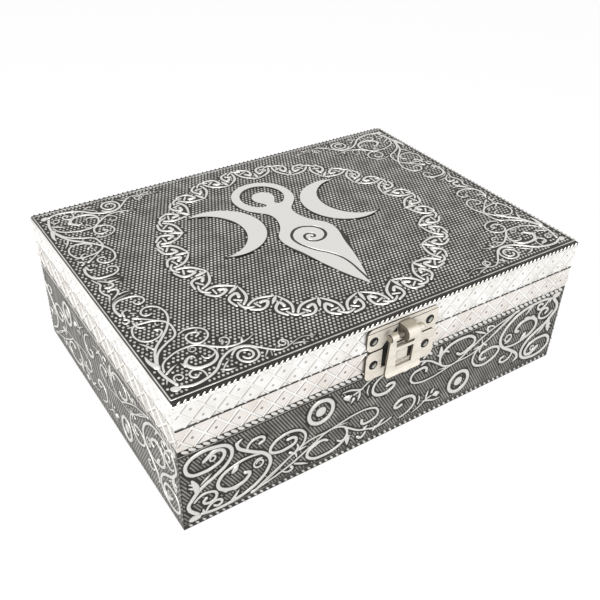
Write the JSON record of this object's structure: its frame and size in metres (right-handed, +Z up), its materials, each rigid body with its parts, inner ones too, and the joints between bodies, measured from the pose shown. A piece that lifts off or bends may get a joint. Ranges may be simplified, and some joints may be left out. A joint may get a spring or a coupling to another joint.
{
  "type": "keepsake box",
  "caption": "Wooden keepsake box clad in embossed antiqued aluminium, with crescent and figure emblem on a hinged lid, bright lattice bands, velvet lining and a hasp catch.",
  "frame": {"origin": "middle of the underside, on the felt that the box stands on", "axes": "+X along the front to the right, +Y to the hinged back, +Z up"},
  "size_m": [0.176, 0.1372, 0.0584],
  "materials": {
    "antiqued_aluminium": "embossed, dark patina in the ground, polished relief",
    "bright_aluminium": "bright, pressed with a diamond lattice",
    "nickel_plate": "warm nickel plate on stamped steel",
    "nail_steel": "plain steel",
    "wood": "bare sawn wood",
    "velvet": "short black pile",
    "felt": "thin felt"
  },
  "bodies": {
    "box": {"front_board": "wood", "back_board": "wood", "left_board": "wood", "right_board": "wood", "floor_board": "wood", "front_panel_sheet": "antiqued_aluminium", "back_panel_sheet": "antiqued_aluminium", "left_panel_sheet": "antiqued_aluminium", "right_panel_sheet": "antiqued_aluminium", "front_rim_strip": "bright_aluminium", "back_rim_strip": "bright_aluminium", "left_rim_strip": "bright_aluminium", "right_rim_strip": "bright_aluminium", "front_lining": "velvet", "back_lining": "velvet", "left_lining": "velvet", "right_lining": "velvet", "floor_lining": "velvet", "base_felt": "felt", "left_hinge_body_leaf": "nickel_plate", "right_hinge_body_leaf": "nickel_plate", "left_hinge_pin": "nickel_plate", "right_hinge_pin": "nickel_plate", "staple_plate": "nickel_plate", "staple_plate_nails": "nail_steel", "hinge_body_nails": "nail_steel"},
    "lid": {"lid_board": "wood", "lid_top_sheet": "antiqued_aluminium", "lid_front_rail": "wood", "lid_back_rail": "wood", "lid_left_rail": "wood", "lid_right_rail": "wood", "lid_front_strip": "bright_aluminium", "lid_back_strip": "bright_aluminium", "lid_left_strip": "bright_aluminium", "lid_right_strip": "bright_aluminium", "lid_front_lining": "velvet", "lid_back_lining": "velvet", "lid_left_lining": "velvet", "lid_right_lining": "velvet", "lid_lining": "velvet", "left_hinge_lid_leaf": "nickel_plate", "right_hinge_lid_leaf": "nickel_plate", "hasp_plate": "nickel_plate", "hasp_pin": "nickel_plate", "hasp_plate_nails": "nail_steel", "hinge_lid_nails": "nail_steel"},
    "hasp": {"hasp": "nickel_plate"}
  },
  "joints": [
    {"name": "lid_open", "type": "hinge", "parent": "box", "child": "lid", "pos_m": [0, 0.0653, 0.04585], "axis": [-1, 0, 0], "range_deg": [0, 170]},
    {"name": "hasp_swing", "type": "hinge", "parent": "lid", "child": "hasp", "pos_m": [-0.002, -0.06745, 0.0519], "axis": [-1, 0, 0], "range_deg": [-7, 180]}
  ]
}
